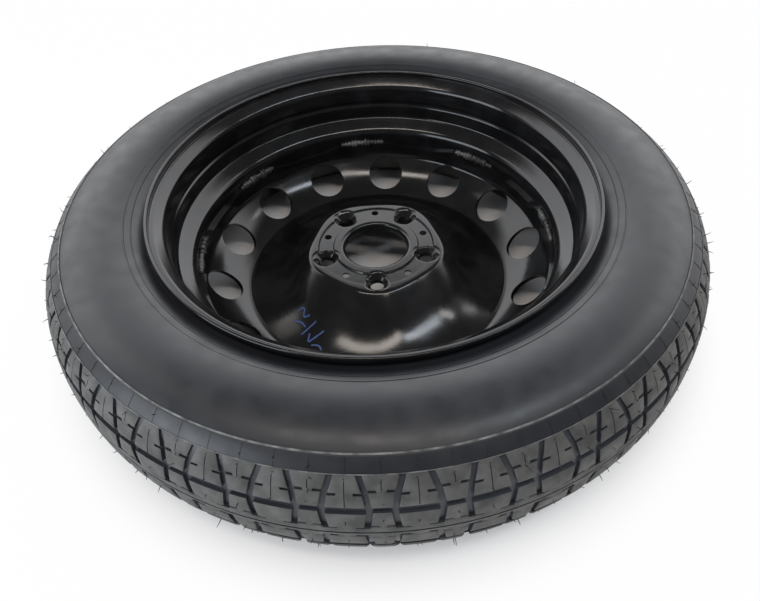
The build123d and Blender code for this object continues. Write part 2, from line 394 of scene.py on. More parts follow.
def wheel_rim():
    """The whole rim, one turned sheet with curled lips."""
    lower = [(c[0], -c[1], *c[2:]) for c in reversed(rim_side(*LOWER_LEDGE))]
    corners = [(c[0], c[1] + mid_z, *c[2:]) for c in rim_side(*UPPER_LEDGE) + lower]
    line = divided(rounded(corners, RIM_ARC_STEP), RIM_RUN)
    inner = parallel(line, RIM_SHEET)
    low_curl = [(lip_r + r, mid_z - LIP_HALF - rise) for r, rise in curl_line]
    top_curl = [(lip_r + r, mid_z + LIP_HALF + rise) for r, rise in reversed(curl_line)]
    verts, faces = lathe(line + low_curl + inner[::-1] + top_curl, RIM_SEGMENTS)
    return piece(
        "rim_pressing", verts, faces, [wheel_paint], "wheel", ["wheel_rim"], RIM_SHARP
    )


wheel_rim()

# Disc: one pressing, made as a dense turned sheet with lobes, lug pits and a wavy flange edge, then punched
DISC_SEGMENTS = 350
DISC_SHEET = 3.6
BORE_R = 32.55
PAD_R = 68.0
CREASE_R = 137.0
LOBE = 2.3
LOBE_FROM = 60.0
LUG_COUNT = 5
LUG_R = 54.0
LUG_PHASE = -91.0
LUG_HOLE_R = 7.1
LUG_SEAT_R = 13.0
LUG_SEAT_DEPTH = 6.4
LUG_BOSS_R = 15.6
LUG_EDGE = 1.2
LUG_MARGIN = 0.8
LUG_PIT_DEPTH = LUG_SEAT_DEPTH + 0.5
LUG_REACH = LUG_BOSS_R + 1.0
SMALL_R = 52.9
SMALL_HOLE_R = 3.75
VENT_COUNT = 14
VENT_R = 164.0
VENT_Z = -29.6
VENT_LEAN = 45.0
VENT_PHASE = 84.0
VENT_HOLE_R = 20.0
FLANGE_R = 177.35
FLANGE_EDGE_Z = 5.0
WELD_COUNT = 8
WELD_ANGLE = 16.5
WELD_PHASE = 3.0
EDGE_DIP = 5.0
DIP_REACH = 16.0
DIP_STEEPNESS = 1.6
DIP_BAND = 1.0
PUNCH_LENGTH = 40.0
VENT_PUNCH_LENGTH = 30.0
VENT_SIDES = 72
LUG_SIDES = 48
SMALL_SIDES = 32
DISC_SHARP = 32.0
BEND_STEP = 8.0
TOP_FINE = 1.5
TOP_COARSE = 4.0
LOW_FINE = 2.5
LOW_COARSE = 5.0

bore_corners = [(BORE_R, -9.0), (BORE_R, 0.0, 4.2)]
coin_corners = [(43.4, 0.0, 0.7), (44.6, -1.7, 0.7), (59.0, -1.7, 0.7), (60.2, 0.0, 0.7)]
outer_corners = [
    (PAD_R, 0.0, 7.0),
    (111.9, -33.1, 142.0),
    (CREASE_R, -41.5, 8.0),
    (157.0, -34.2, 75.0),
    (FLANGE_R, -13.55, 8.0),
    (FLANGE_R, FLANGE_EDGE_Z),
]
disc_top = rounded(bore_corners + coin_corners + outer_corners, BEND_STEP, TOP_COARSE)
disc_top = divided(disc_top, TOP_FINE, PAD_R + LOBE, TOP_COARSE)
disc_low = rounded(bore_corners + outer_corners, BEND_STEP, LOW_COARSE)
disc_low = parallel(divided(disc_low, LOW_FINE, PAD_R + LOBE, LOW_COARSE), DISC_SHEET)
disc_section = disc_top + disc_low[::-1]


def ease(value):
    """A smooth step from 0 to 1 for values from 0 to 1."""
    value = min(1.0, max(0.0, value))
    return value * value * (3.0 - 2.0 * value)


def edge_dip(turn):
    """How far the flange's edge dips at an angle: nothing over a weld, most half-way between two."""
    pitch = 360.0 / WELD_COUNT
    away = abs((math.degrees(turn) - WELD_PHASE + pitch / 2) % pitch - pitch / 2)
    gap = pitch / 2 - WELD_ANGLE / 2
    return EDGE_DIP * ease((away - WELD_ANGLE / 2) / gap * DIP_STEEPNESS)


def disc_shape(index, r, z, turn):
    """Moves one point of the turned disc: pad lobes, lug pits and the dips of the flange edge."""
    top = index < len(disc_top)
    fifth = 360.0 / LUG_COUNT
    away = math.radians((math.degrees(turn) - LUG_PHASE + fifth / 2) % fifth - fifth / 2)
    lobe = LOBE * math.cos(LUG_COUNT * away)
    if LOBE_FROM < r < CREASE_R:
        rising = (r - LOBE_FROM) / (PAD_R - LOBE_FROM)
        falling = (CREASE_R - r) / (CREASE_R - PAD_R)
        r += lobe * ease(rising if r < PAD_R else falling)
    reach = math.hypot(r * math.cos(away) - LUG_R, r * math.sin(away))
    if reach < LUG_REACH:
        rim = LUG_SEAT_R if top else LUG_BOSS_R
        slope = LUG_SEAT_DEPTH / (LUG_SEAT_R - LUG_HOLE_R)
        into = max(0.0, rim + LUG_MARGIN - reach)
        drop = min((math.hypot(into, LUG_EDGE) - LUG_EDGE) * slope, LUG_PIT_DEPTH)
        z = min(z, -drop) if top else z - drop
    if z > FLANGE_EDGE_Z - DIP_REACH and r > FLANGE_R - DIP_BAND:
        z -= edge_dip(turn) * (z - FLANGE_EDGE_Z + DIP_REACH) / DIP_REACH
    return r, z


def punch(radius, length, place, sides):
    """A round bar for punching holes, as points and faces."""
    work = bmesh.new()
    bmesh.ops.create_cone(work, cap_ends=True, segments=sides, radius1=radius, radius2=radius, depth=length)
    work.transform(place)
    work.verts.index_update()
    points = [tuple(v.co) for v in work.verts]
    faces = [[v.index for v in f.verts] for f in work.faces]
    work.free()
    return points, faces


def spun(angle):
    """A turn about the wheel's axis."""
    return Matrix.Rotation(math.radians(angle), 4, "Z")


def wheel_disc():
    """The disc with its lug holes, small holes and vents cut through."""
    verts, faces = lathe(disc_section, DISC_SEGMENTS, disc_shape)
    made = piece("disc_pressing", verts, faces, [wheel_paint], "wheel", ["wheel_disc"])
    bars = []
    lean = Matrix.Rotation(math.radians(-VENT_LEAN), 4, "Y")
    for k in range(VENT_COUNT):
        place = spun(VENT_PHASE + 360.0 * k / VENT_COUNT) @ Matrix.Translation((VENT_R, 0, VENT_Z)) @ lean
        bars.append(punch(VENT_HOLE_R, VENT_PUNCH_LENGTH, place, VENT_SIDES))
    for k in range(LUG_COUNT):
        turn = LUG_PHASE + 360.0 * k / LUG_COUNT
        place = spun(turn) @ Matrix.Translation((LUG_R, 0, 0))
        bars.append(punch(LUG_HOLE_R, PUNCH_LENGTH, place, LUG_SIDES))
        half_way = spun(turn + 180.0 / LUG_COUNT) @ Matrix.Translation((SMALL_R, 0, 0))
        bars.append(punch(SMALL_HOLE_R, PUNCH_LENGTH, half_way, SMALL_SIDES))
    all_verts, all_faces = [], []
    for points, sides in bars:
        start = len(all_verts)
        all_verts += points
        all_faces += [[start + i for i in side] for side in sides]
    mesh = bpy.data.meshes.new("punches")
    mesh.from_pydata([tuple(c * MM for c in v) for v in all_verts], [], all_faces)
    tool = bpy.data.objects.new("punches", mesh)
    bpy.context.scene.collection.objects.link(tool)
    cut = made.modifiers.new("punch", "BOOLEAN")
    cut.operation = "DIFFERENCE"
    cut.solver = "EXACT"
    cut.object = tool
    punched = bpy.data.meshes.new_from_object(made.evaluated_get(bpy.context.evaluated_depsgraph_get()))
    made.modifiers.clear()
    made.data = punched
    bpy.data.objects.remove(tool)
    punched.shade_smooth()
    punched.set_sharp_from_angle(angle=math.radians(DISC_SHARP))
    return made


wheel_disc()

# Welds: rippled beads between the flange's edge and the drop well
WELD_STEPS = 120
WELD_SIDES = 12
WELD_RIPPLES = 13
WELD_LEG = 5.6
WELD_R = 179.4
WELD_Z = FLANGE_EDGE_Z + 0.6
WELD_WIDE = 0.62
WELD_TALL = 0.8
WELD_END_POWER = 0.25
WELD_END_SIZE = 0.25
RIPPLE_FLOOR = 0.6
RIPPLE_RISE = 0.4
WOBBLE = 0.5
LUMP = 0.3
WELD_SHARP = 70.0


def weld_beads():
    """All the beads as one group of closed lumps."""
    verts, faces = [], []
    for k in range(WELD_COUNT):
        middle = WELD_PHASE + 360.0 * k / WELD_COUNT
        start = len(verts)
        for step in range(WELD_STEPS + 1):
            along = step / WELD_STEPS
            turn = math.radians(middle + WELD_ANGLE * (along - 0.5))
            inside = 0 < step < WELD_STEPS
            end = math.sin(math.pi * along) ** WELD_END_POWER if inside else WELD_END_SIZE
            ripple = RIPPLE_FLOOR + RIPPLE_RISE * abs(math.sin(math.pi * WELD_RIPPLES * along))
            wobble = 1.0 + WOBBLE * noise.noise(Vector((k * 7.3, along * 9.0, 0.5)))
            size = WELD_LEG * end * ripple * wobble
            for side in range(WELD_SIDES):
                swing = 2 * math.pi * side / WELD_SIDES
                lump = size * (1.0 + LUMP * noise.noise(Vector((k * 3.7, along * 45.0, side * 0.8))))
                r = WELD_R + lump * WELD_WIDE * math.cos(swing)
                z = WELD_Z + lump * WELD_TALL * math.sin(swing)
                verts.append((r * math.cos(turn), r * math.sin(turn), z))
        faces += tube_faces(start, WELD_STEPS + 1, WELD_SIDES)
    return piece(
        "weld_lumps", verts, faces, [weld_paint], "wheel", ["weld_beads"], WELD_SHARP
    )


weld_beads()

# Marker: a few generic strokes of blue ink on the hat wall
STROKE_MIDDLE = (111.0, -130.0)
STROKE_WIDTH = 1.7
STROKE_RISE = 0.12
STROKE_SINK = -0.2
STROKE_RUN = 0.9
RIBBON_SIDES = 4
HAT_LEAN = math.radians(30.0)
strokes = [
    [(-22.0, 8.0), (-17.0, 16.0, 2.5), (-12.0, 5.0, 2.5), (-7.0, 11.0)],
    [(-19.0, -2.0), (-10.0, 1.5, 8.0), (-4.0, -1.0)],
    [(3.0, 9.0), (-3.0, -9.0)],
    [(4.0, -4.0), (8.0, -13.0, 1.0), (16.0, 4.0)],
    [(13.0, -14.0), (20.0, -10.0, 6.0), (25.0, -15.0)],
]


def on_hat(along, up, lift):
    """A point along and up the hat wall from the strokes' middle, lifted off its face."""
    r = STROKE_MIDDLE[0] - up * math.cos(HAT_LEAN)
    turn = math.radians(STROKE_MIDDLE[1]) + along / r
    r, z = disc_shape(0, r, between(disc_top, r), turn)
    r += lift * math.sin(HAT_LEAN)
    return r * math.cos(turn), r * math.sin(turn), z + lift * math.cos(HAT_LEAN)


def marker_strokes():
    """Thin closed ribbons of ink that follow the wall."""
    verts, faces = [], []
    for stroke in strokes:
        path = divided(rounded(stroke), STROKE_RUN)
        start = len(verts)
        for left, right in zip(parallel(path, -STROKE_WIDTH / 2), parallel(path, STROKE_WIDTH / 2)):
            verts += [on_hat(*left, lift) for lift in (STROKE_SINK, STROKE_RISE)]
            verts += [on_hat(*right, lift) for lift in (STROKE_RISE, STROKE_SINK)]
        faces += tube_faces(start, len(path), RIBBON_SIDES)
    return piece("marker_strokes", verts, faces, [marker_ink], "wheel")


marker_strokes()

# Tyre: casing and tread on one grid of rows across the tread and columns round it
PITCH_COUNT = 38
PAIR_CENTRE = -95.8
CROWN_R = tyre_r
WIDEST_R = 258.0
SECTION_HALF = 71.0
SECTION_POWER = 2.31
GROOVE_WIDTH = 4.8
GROOVE_DEPTH = 3.6
SHOULDER_DEPTH = 2.2
DASH_DEPTH = 2.4
SIPE_DEPTH = 2.0
CENTRE_DEPTH = 1.7
MOULD_RISE = 0.35
SIPE_HALF = 0.32
ROLL = 1.4
ROLL_DROP = 0.65
DASH_LENGTH = 6.0
GROOVE_END = 52.6
MOULD_END = 53.2
TREAD_EDGE = 60.6
RIB_RISE = 0.3
RING_LINE = 293.5
RING_HALF = 0.6
RING_RISE = 0.9
RING_BAND = 2
BEAD_RING_RISE = 0.5
WALL_TUCK = 12.5
WALL_TUCK_REACH = 40.0
SLOPE_STEP = 0.1
TYRE_SHARP = 32.0
DASH_CLEAR = 1.0
# Rows across the tread, as distances from the mid-plane at which the pattern changes
CENTRE_HALF = 0.9
GROOVE_START = 5.0
RIB_GROOVE = (24.2, 29.0)
PAIR_GROOVE_FROM = 22.6
PAIR_SIPE_FROM = 30.4
GAP_SIPE_FROM = 43.2
SIPE_END = 49.0
SHOULDER_FROM = 41.0
SHOULDER_RUN = 11.0
inner_dashes = [(GROOVE_START, 6.8), (39.0, 40.9)]
outer_dashes = [(7.2, 9.0), (41.3, GAP_SIPE_FROM)]
pair_spread = [(0.0, 2.65), (6.0, 2.695), (25.5, 3.13), (41.0, 2.62), (53.0, 1.82), (TREAD_EDGE, 1.45)]
half_rows = [
    CENTRE_HALF, 3.0, *inner_dashes[0], *outer_dashes[0], 12.0, 17.0, 20.8, PAIR_GROOVE_FROM, *RIB_GROOVE,
    PAIR_SIPE_FROM, 32.0, 36.0, *inner_dashes[1], *outer_dashes[1], 46.0, SIPE_END, 51.0,
    GROOVE_END, MOULD_END, 55.0, 57.0, 59.0, TREAD_EDGE,
]
tread_rows = [-h for h in reversed(half_rows)] + half_rows


def crown(half):
    """Radius of the tyre's outer face at a distance from its mid-plane."""
    share = min(1.0, abs(half) / SECTION_HALF) ** SECTION_POWER
    return WIDEST_R + (CROWN_R - WIDEST_R) * (1.0 - share) ** (1.0 / SECTION_POWER)


def wall_half(r):
    """Distance from the mid-plane of the tyre's outer face at a radius."""
    if r >= WIDEST_R:
        share = ((r - WIDEST_R) / (CROWN_R - WIDEST_R)) ** SECTION_POWER
        return SECTION_HALF * (1.0 - share) ** (1.0 / SECTION_POWER)
    return SECTION_HALF - WALL_TUCK * ((WIDEST_R - r) / WALL_TUCK_REACH) ** 2


def columns(half):
    """Angles of the columns of one pitch, from its middle, at a distance from the mid-plane."""
    r = crown(half)
    groove = math.radians(between(pair_spread, abs(half))) * r
    inner, outer = groove - GROOVE_WIDTH / 2, groove + GROOVE_WIDTH / 2
    limit = math.pi / PITCH_COUNT * r - SIPE_HALF
    dash = min(DASH_LENGTH, inner - ROLL - DASH_CLEAR)
    places = [SIPE_HALF, inner - dash, inner - ROLL, inner, outer, outer + ROLL, outer + DASH_LENGTH, limit]
    return [-place / r for place in reversed(places)] + [place / r for place in places]


PAIR_SIPE, BLOCK, DASH_IN, ROLL_IN, GROOVE, ROLL_OUT, DASH_OUT, GAP, GAP_SIPE = range(9)
side_kinds = [GAP, DASH_OUT, ROLL_OUT, GROOVE, ROLL_IN, DASH_IN, BLOCK]
column_kinds = side_kinds + [PAIR_SIPE] + side_kinds[::-1] + [GAP_SIPE]
COLUMNS = len(column_kinds)
WALL_SLOT, TREAD_SLOT, GROOVE_SHEEN_SLOT, RIDGE_HIGHLIGHT_SLOT = range(4)


def cell_depth(kind, low, high):
    """Depth of one cell of the tread below the blocks' faces: 0 on a block, less than 0 on a rib."""
    middle = abs(low + high) / 2
    in_pair = kind in (PAIR_SIPE, BLOCK, DASH_IN, ROLL_IN, GROOVE)
    if middle < CENTRE_HALF:
        return CENTRE_DEPTH
    if (PAIR_GROOVE_FROM if in_pair else RIB_GROOVE[0]) < middle < RIB_GROOVE[1]:
        return GROOVE_DEPTH
    if kind == GROOVE and GROOVE_START < middle < GROOVE_END:
        shallower = ease((middle - SHOULDER_FROM) / SHOULDER_RUN)
        return GROOVE_DEPTH - (GROOVE_DEPTH - SHOULDER_DEPTH) * shallower
    if kind in (DASH_IN, ROLL_IN) and any(a < middle < b for a, b in inner_dashes):
        return DASH_DEPTH
    if kind in (DASH_OUT, ROLL_OUT) and any(a < middle < b for a, b in outer_dashes):
        return DASH_DEPTH
    if kind == PAIR_SIPE and PAIR_SIPE_FROM < middle < SIPE_END:
        return SIPE_DEPTH
    if kind == GAP_SIPE and GAP_SIPE_FROM < middle < SIPE_END:
        return SIPE_DEPTH
    if GROOVE_END < middle < MOULD_END:
        return -MOULD_RISE
    if middle > MOULD_END and kind in (PAIR_SIPE, GAP_SIPE):
        return -RIB_RISE
    return 0.0


def side_section():
    """The outline from the upper tread edge over sidewall, bead and cavity to the lower tread edge."""
    ring_edges = (RING_LINE + RING_HALF, RING_LINE - RING_HALF)
    bead_rings = ((235.8, 235.2), (229.6, 229.0))
    radii = [294.6, *ring_edges, 292.4, 289.0, 284.0, 278.0, 271.0, 264.0, WIDEST_R, 251.0, 245.0, 240.0]
    radii += [236.2, *bead_rings[0], 234.8, 232.0, 229.9, *bead_rings[1], 228.7, 225.0, 221.6, 219.0]
    raised = dict.fromkeys(ring_edges, RING_RISE)
    raised.update(dict.fromkeys(bead_rings[0] + bead_rings[1], BEAD_RING_RISE))
    wall = [(r, wall_half(r) + raised.get(r, 0.0)) for r in radii]
    bead = [(217.5, 58.4), (212.0, 58.2), (208.2, 56.6), (204.5, 54.2), (203.0, 51.0), (201.4, 40.15)]
    cavity = [(208.8, 40.15), (246.0, 62.0), (262.0, 63.5), (288.0, 55.0), (304.0, 38.0), (308.0, 20.0)]
    half = wall + bead + cavity
    return half + [(r, -h) for r, h in reversed(half)]


def tread_point(half, angle, depth):
    """A point on the tyre's face, or below it along the face's normal."""
    r = crown(half)
    lean = math.atan2(crown(half - SLOPE_STEP) - crown(half + SLOPE_STEP), 2 * SLOPE_STEP)
    r -= depth * math.cos(lean)
    return r * math.cos(angle), r * math.sin(angle), half - depth * math.sin(lean) + mid_z


def tyre():
    """Casing and tread as one closed mesh: cells of the tread sink, with walls where depths differ."""
    verts, faces, slots = [], [], []
    numbers = {}
    around = PITCH_COUNT * COLUMNS
    row_angles = [columns(half) for half in tread_rows]
    step = 2 * math.pi / PITCH_COUNT

    def angle_at(row, column):
        return math.radians(PAIR_CENTRE) + column // COLUMNS * step + row_angles[row][column % COLUMNS]

    depths = {}
    for row in range(len(tread_rows) - 1):
        for column in range(COLUMNS):
            depths[row, column] = cell_depth(column_kinds[column], tread_rows[row], tread_rows[row + 1])

    def depth_of(row, column):
        return depths.get((row, column % COLUMNS), 0.0)

    def levels(row, column):
        cells = [(r, c) for r in (row - 1, row) for c in (column - 1, column)]
        return sorted({depth_of(*cell) for cell in cells})

    def vertex(row, column, depth):
        column %= around
        key = row, column, depth
        if key not in numbers:
            rolled = depth == 0.0 and levels(row, column)[-1] > SHOULDER_DEPTH
            sunk = ROLL_DROP if rolled else depth
            numbers[key] = len(verts)
            verts.append(tread_point(tread_rows[row], angle_at(row, column), sunk))
        return numbers[key]

    def chain(row, column, first, last):
        between_levels = [d for d in levels(row, column) if min(first, last) <= d <= max(first, last)]
        ordered = between_levels if first < last else between_levels[::-1]
        return [vertex(row, column, d) for d in ordered]

    def wall(one, other, first, last):
        faces.append(chain(*one, first, last) + chain(*other, last, first))
        slots.append(GROOVE_SHEEN_SLOT if max(first, last) > 0.0 else WALL_SLOT)

    def face_slot(row, depth):
        if depth > 0.0:
            return GROOVE_SHEEN_SLOT
        # The mould ridge at the tread's edge takes the light rubber, a painted highlight.
        if depth == -MOULD_RISE:
            return RIDGE_HIGHLIGHT_SLOT
        return TREAD_SLOT if abs(tread_rows[row] + tread_rows[row + 1]) / 2 < MOULD_END else WALL_SLOT

    for row in range(len(tread_rows) - 1):
        for column in range(around):
            depth = depth_of(row, column)
            corners = [(row, column), (row, column + 1), (row + 1, column + 1), (row + 1, column)]
            faces.append([vertex(r, c, depth) for r, c in corners])
            slots.append(face_slot(row, depth))
            beside = depth_of(row, column + 1)
            if beside != depth:
                wall((row, column + 1), (row + 1, column + 1), depth, beside)
            above = depth_of(row + 1, column) if row + 2 < len(tread_rows) else 0.0
            if above != depth:
                wall((row + 1, column), (row + 1, column + 1), depth, above)

    last = len(tread_rows) - 1
    rings = [[vertex(last, column, 0.0) for column in range(around)]]
    for r, half in side_section():
        edge = last if half > 0 else 0
        rings.append(list(range(len(verts), len(verts) + around)))
        for column in range(around):
            angle = angle_at(edge, column)
            verts.append((r * math.cos(angle), r * math.sin(angle), half + mid_z))
    rings.append([vertex(0, column, 0.0) for column in range(around)])
    # The ring line's top takes the light rubber, a painted highlight along it.
    ring_lines = (RING_BAND, len(rings) - 2 - RING_BAND)
    for ring, (low, high) in enumerate(zip(rings, rings[1:])):
        for column in range(around):
            after = (column + 1) % around
            faces.append((low[column], low[after], high[after], high[column]))
            slots.append(RIDGE_HIGHLIGHT_SLOT if ring in ring_lines else WALL_SLOT)
    rubbers = [sidewall_rubber, tread_rubber, groove_rubber_and_sheen, ridge_highlight_rubber]
    return piece(
        "tyre_casing", verts, faces, rubbers, "wheel", ["tyre"], TYRE_SHARP, face_slots=slots
    )


tyre()

# Whiskers: the thin hairs that moulding leaves on the shoulders and the blocks
WHISKER_SIDES = 5
WHISKER_THICK = 0.45
WHISKER_LENGTH = (1.8, 4.4)
WHISKER_TAPER = ((0.0, 1.0), (0.4, 0.8), (0.75, 0.6), (1.0, 0.35))
HALF_PITCH = 0.5
WHISKER_STRAY = 2.4
WHISKER_SWAY = 1.6
WHISKER_SINK = 0.4
HASH_STEP = 12.9898
HASH_GAIN = 43758.5453
# Rows as distance from the mid-plane, place in the pitch and share of pitches that have one
whisker_rows = [
    (50.2, 0.0, 0.9), (30.9, 0.0, 0.7), (50.0, HALF_PITCH, 0.9), (42.2, HALF_PITCH, 0.8),
    (33.0, HALF_PITCH, 0.6), (57.5, 0.0, 0.5), (56.0, HALF_PITCH, 0.35), (14.0, 0.0, 0.7),
    (17.0, HALF_PITCH, 0.6),
]


def chance(*seed):
    """A repeatable number from 0 to 1."""
    return math.sin(sum((k + 1) * HASH_STEP * s for k, s in enumerate(seed))) * HASH_GAIN % 1.0


def whiskers():
    """All the hairs as one group of thin closed cones, each bent its own way."""
    verts, faces = [], []
    places = []
    for side in (1, -1):
        for half, at, odds in whisker_rows:
            places += [(side * half, pitch + at, odds) for pitch in range(PITCH_COUNT)]
    for k, (half, pitch, odds) in enumerate(places):
        if chance(k, 1) > odds:
            continue
        stray = (chance(k, 2) - 0.5) * WHISKER_STRAY / crown(half)
        turn = math.radians(PAIR_CENTRE + 360.0 * pitch / PITCH_COUNT) + stray
        foot = Vector(tread_point(half, turn, WHISKER_SINK))
        out = (Vector(tread_point(half, turn, -1.0)) - foot).normalized()
        sway = Vector([chance(k, draw) - 0.5 for draw in (3, 4, 5)]) * WHISKER_SWAY
        across = out.orthogonal().normalized()
        other = out.cross(across)
        length = WHISKER_LENGTH[0] + (WHISKER_LENGTH[1] - WHISKER_LENGTH[0]) * chance(k, 6)
        start = len(verts)
        for along, thick in WHISKER_TAPER:
            centre = foot + (out * along + sway * along * along) * length
            for side in range(WHISKER_SIDES):
                swing = 2 * math.pi * side / WHISKER_SIDES
                spoke = across * math.cos(swing) + other * math.sin(swing)
                verts.append(tuple(centre + spoke * thick * WHISKER_THICK))
        faces += tube_faces(start, len(WHISKER_TAPER), WHISKER_SIDES)
    return piece("tread_whiskers", verts, faces, [hair_rubber], "wheel")


whiskers()

# Valve: ribbed cap, threaded stem and moulded body, on the valve's own axis
BODY_SEGMENTS = 96
STEM_SEGMENTS = 64
CAP_SEGMENTS = 160
VALVE_SHARP = 40.0
THREAD_PITCH = 0.794
THREAD_DEPTH = 0.45
THREAD_FROM_R = 3.6
THREAD_MARGIN = 0.3
STEM_THREAD_R = 3.85
STEM_R = 3.4
STEM_BORE_R = 1.9
STEM_LENGTH = 31.5
STEM_STEP = 0.1
STEM_RUN = 0.15
STEM_BEVEL = (0.25, 0.2)
CORE_BORE_R = 2.65
CORE_SEAT = 23.0
BODY_LENGTH = 21.0
BODY_BORE_R = 3.43
BODY_R = 5.2
COLLAR_R = 7.6
NECK_R = 5.72
NECK_LOW = -2.8
NECK_TOP = 0.2
HEAD_R = 9.4
HEAD_LOW = -9.1
CAP_LOW = 21.5
CAP_TOP = 33.6
CAP_ROOF = 32.4
CAP_R = 5.05
CAP_BORE_R = 4.15
CAP_EYE_R = 0.05
CAP_RUN = 0.5
CAP_RIBS = 20
CAP_RIB_DEPTH = 0.32
CAP_RIB_SKIN = 0.05
CAP_RIB_LOW = CAP_LOW + 0.8
CAP_RIB_TOP = CAP_TOP - 1.2
SPRING_TURNS = 3
SPRING_STEPS = 90
WIRE_SIDES = 10
sideways = Vector((1, 0, 0))
valve_frame = Matrix((sideways, valve_axis.cross(sideways), valve_axis)).transposed().to_4x4()
valve_place = Matrix.Translation(valve_seat * MM) @ valve_frame


def thread_shape(index, r, z, turn):
    """Cuts a helical thread into the upper stem."""
    if r > THREAD_FROM_R and BODY_LENGTH + THREAD_MARGIN < z < STEM_LENGTH - THREAD_MARGIN:
        phase = (z / THREAD_PITCH - turn / (2 * math.pi)) % 1.0
        r -= THREAD_DEPTH * abs(2.0 * phase - 1.0)
    return r, z


def cap_shape(index, r, z, turn):
    """Grip ribs round the cap."""
    if r > CAP_R - CAP_RIB_SKIN and CAP_RIB_LOW < z < CAP_RIB_TOP:
        r -= CAP_RIB_DEPTH * abs(math.sin(turn * CAP_RIBS / 2)) ** 3
    return r, z


def valve():
    """The outer pieces of the valve."""
    body = rounded([
        (BODY_BORE_R, HEAD_LOW), (HEAD_R, HEAD_LOW, 1.2), (HEAD_R, -4.6, 1.0), (8.6, NECK_LOW, 0.4),
        (NECK_R, NECK_LOW, 0.3), (NECK_R, NECK_TOP, 0.3), (COLLAR_R, NECK_TOP, 0.6), (COLLAR_R, 4.0, 2.0),
        (BODY_R, 8.5, 4.0), (BODY_R, BODY_LENGTH, 0.5), (BODY_BORE_R, BODY_LENGTH),
    ])
    verts, faces = lathe(body, BODY_SEGMENTS)
    piece(
        "valve_rubber_body", verts, faces, [valve_rubber], "wheel", ["valve_body"],
        VALVE_SHARP, valve_place,
    )
    thread = [(STEM_THREAD_R, BODY_LENGTH + STEM_STEP), (STEM_THREAD_R, STEM_LENGTH - STEM_BEVEL[1])]
    stem = [(STEM_R, HEAD_LOW), (STEM_R, BODY_LENGTH)] + divided(thread, STEM_RUN)
    stem += [(STEM_THREAD_R - STEM_BEVEL[0], STEM_LENGTH), (CORE_BORE_R, STEM_LENGTH)]
    stem += [(CORE_BORE_R, CORE_SEAT), (STEM_BORE_R, CORE_SEAT), (STEM_BORE_R, HEAD_LOW)]
    verts, faces = lathe(stem, STEM_SEGMENTS, thread_shape)
    piece(
        "valve_brass_stem", verts, faces, [valve_brass], "wheel", ["valve_stem"],
        VALVE_SHARP, valve_place,
    )
    cap = rounded([
        (CAP_BORE_R, CAP_LOW), (CAP_R, CAP_LOW, 0.3), (CAP_R, CAP_TOP, 0.9), (CAP_EYE_R, CAP_TOP),
        (CAP_EYE_R, CAP_ROOF), (CAP_BORE_R, CAP_ROOF, 0.2), (CAP_BORE_R, CAP_LOW),
    ])
    verts, faces = lathe(divided(cap, CAP_RUN)[:-1], CAP_SEGMENTS, cap_shape)
    piece(
        "ribbed_cap", verts, faces, [cap_plastic], "cap", ["valve_cap"],
        VALVE_SHARP, valve_place,
    )


valve()


def valve_spring():
    """The core's spring as round wire of the node's size."""
    node = frame["nodes"]["core_spring"]
    points = [valve_place.inverted() @ v.co / MM for v in node.data.vertices]
    reach = [math.hypot(point.x, point.y) for point in points]
    wire = max(reach) - min(reach)
    low = min(point.z for point in points)
    high = max(point.z for point in points)
    verts = []
    for step in range(SPRING_STEPS + 1):
        along = step / SPRING_STEPS
        turn = 2 * math.pi * SPRING_TURNS * along
        for side in range(WIRE_SIDES):
            swing = 2 * math.pi * side / WIRE_SIDES
            r = (max(reach) + min(reach) + wire * math.cos(swing)) / 2
            z = low + wire / 2 + (high - low - wire) * along + wire / 2 * math.sin(swing)
            verts.append((r * math.cos(turn), r * math.sin(turn), z))
    faces = tube_faces(0, SPRING_STEPS + 1, WIRE_SIDES)
    made = piece(
        "valve_spring", verts, faces, [spring_steel], "wheel", ["core_spring"],
        VALVE_SHARP, valve_place,
    )
    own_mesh(made)


valve_spring()

# Inner valve pieces, which show as the solids they are
node_finish = {
    "core_plug": valve_brass, "core_barrel": valve_brass, "core_pin": valve_brass, "pin_cup": valve_brass,
    "barrel_gasket": seal_rubber, "cup_gasket": seal_rubber, "cap_seal": seal_rubber,
}
for node, material in node_finish.items():
    frame["nodes"][node].data.materials.clear()
    frame["nodes"][node].data.materials.append(material)

# Stage: pale floor, soft boxes and a dim surround
FLOOR_SIZE = 60.0
FLOOR_WHITE = 0.97
FLOOR_COLOUR = (0.85, 0.85, 0.86, 1.0)
FLOOR_ROUGHNESS = 0.8
FLOOR_GLOSS = 0.1
LIGHT_DISTANCE = 2.2
WARM = (1.0, 0.92, 0.84)
COOL = (0.84, 0.92, 1.0)
WRAP_FOOT = (2.0, 12.0)
WRAP_HEAD = (39.0, 50.0)
WRAP_SIDES = (-0.02, 0.34)
SHADE_FROM = 0.26
SHADE_TO = 0.36
SURROUND_COLOUR = (0.97, 0.98, 1.0, 1.0)


